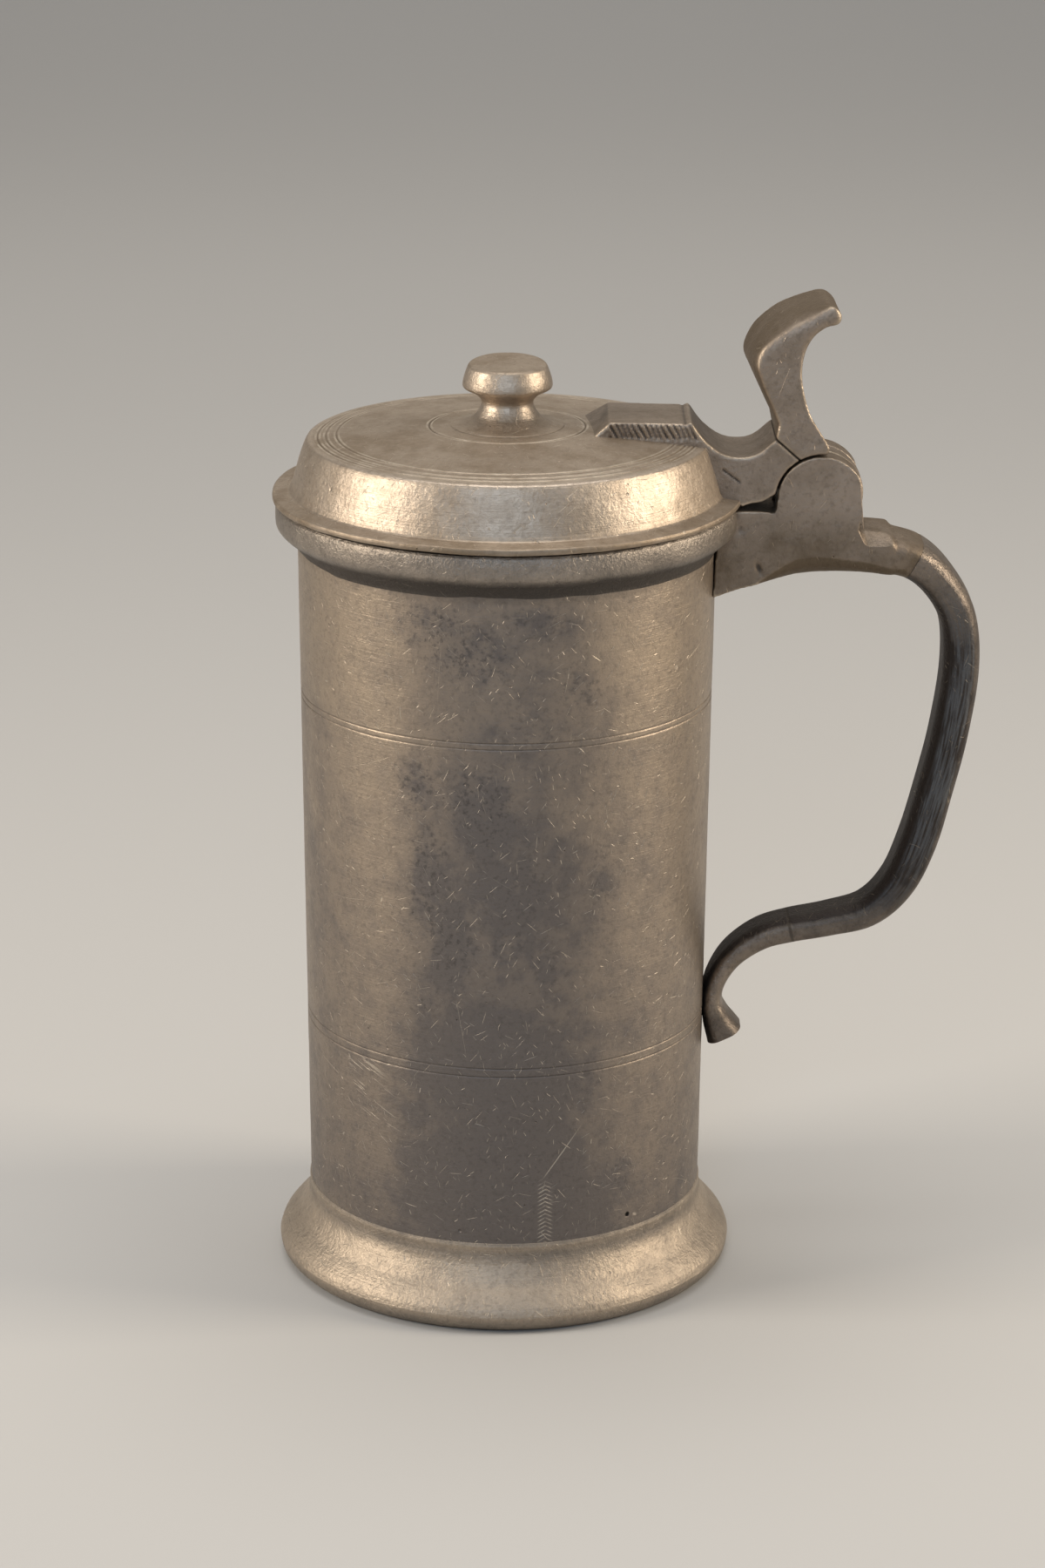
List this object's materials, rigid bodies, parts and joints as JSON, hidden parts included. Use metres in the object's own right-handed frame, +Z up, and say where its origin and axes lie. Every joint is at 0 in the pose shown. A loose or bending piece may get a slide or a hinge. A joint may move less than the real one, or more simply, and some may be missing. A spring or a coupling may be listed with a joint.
{
  "type": "lidded flagon",
  "caption": "Tall pewter flagon: a tapering drum on a spreading foot, strap handle, and a hinged lid with knob and thumbpiece.",
  "frame": {"origin": "on the drum's axis, in the plane of the foot's resting ring", "axes": "+Z up along the drum's axis, +X towards the handle, +Y along the lid's hinge pin"},
  "size_m": [0.1702, 0.1126, 0.2417],
  "materials": {
    "pewter": "satin, worn and mottled",
    "dark_pewter": "satin, tarnished, bright worn edges",
    "pin_metal": "dull drawn wire"
  },
  "bodies": {
    "vessel": {"drum": "pewter", "base_plate": "dark_pewter", "foot_ring": "pewter", "lip_ring": "pewter", "hinge_bracket": "dark_pewter", "handle_grip": "dark_pewter", "handle_tail": "dark_pewter", "hinge_pin": "pin_metal", "pin_plugs": "dark_pewter"},
    "lid": {"lid_cover": "pewter", "lid_bezel": "dark_pewter", "knob": "pewter", "lid_strap": "dark_pewter", "thumbpiece": "dark_pewter"}
  },
  "joints": [
    {"name": "lid_hinge", "type": "hinge", "parent": "vessel", "child": "lid", "pos_m": [0.0744, 0, 0.1951], "axis": [0, 1, 0], "range_deg": [0, 105]}
  ]
}
